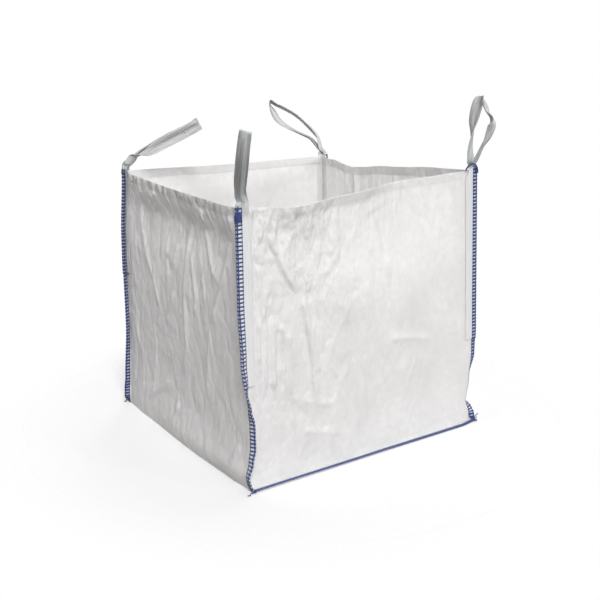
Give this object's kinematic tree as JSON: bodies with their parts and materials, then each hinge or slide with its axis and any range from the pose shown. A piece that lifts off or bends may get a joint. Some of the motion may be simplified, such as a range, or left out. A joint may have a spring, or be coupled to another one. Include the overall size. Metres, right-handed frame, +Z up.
{
  "type": "bulk bag",
  "caption": "Open-top square bulk bag of white woven cloth with blue overlock seams and a lifting loop folding at each corner.",
  "frame": {"origin": "on the floor, on the underside of the base at the middle of the bag", "axes": "+Z up, -Y out of the front panel, +X towards the right wall"},
  "size_m": [1.0524, 1.178, 1.1533],
  "materials": {
    "cloth": "coated woven tape, slightly glossy",
    "strap": "folded woven tape, satin",
    "overlock_thread": "twisted thread, matt",
    "sewing_thread": "twisted thread, matt"
  },
  "bodies": {
    "bag": {"u_panel": "cloth", "front_panel": "cloth", "rear_panel": "cloth", "front_left_front_leg": "strap", "front_left_side_leg": "strap", "front_right_front_leg": "strap", "front_right_side_leg": "strap", "rear_right_rear_leg": "strap", "rear_right_side_leg": "strap", "rear_left_rear_leg": "strap", "rear_left_side_leg": "strap", "front_left_seam": "overlock_thread", "front_bottom_seam": "overlock_thread", "front_right_seam": "overlock_thread", "rear_right_seam": "overlock_thread", "rear_bottom_seam": "overlock_thread", "rear_left_seam": "overlock_thread", "hem_stitching": "sewing_thread", "leg_stitching": "sewing_thread"},
    "loop_front_left": {"front_left_loop": "strap"},
    "loop_front_right": {"front_right_loop": "strap"},
    "loop_rear_right": {"rear_right_loop": "strap"},
    "loop_rear_left": {"rear_left_loop": "strap"}
  },
  "joints": [
    {"name": "front_left_loop_fold", "type": "hinge", "parent": "bag", "child": "loop_front_left", "pos_m": [-0.46396, -0.42485, 0.87629], "axis": [1, 0.0074, -0.0059], "range_deg": [-85, 105]},
    {"name": "front_right_loop_fold", "type": "hinge", "parent": "bag", "child": "loop_front_right", "pos_m": [0.44372, -0.4199, 0.91625], "axis": [0.999, 0.0084, 0.0438], "range_deg": [-85, 105]},
    {"name": "rear_right_loop_fold", "type": "hinge", "parent": "bag", "child": "loop_rear_right", "pos_m": [0.44389, 0.42999, 0.88128], "axis": [0.9998, 0.0111, 0.0171], "range_deg": [-105, 90]},
    {"name": "rear_left_loop_fold", "type": "hinge", "parent": "bag", "child": "loop_rear_left", "pos_m": [-0.43382, 0.42001, 0.89127], "axis": [0.9995, 0.0111, -0.0282], "range_deg": [-105, 60]}
  ]
}
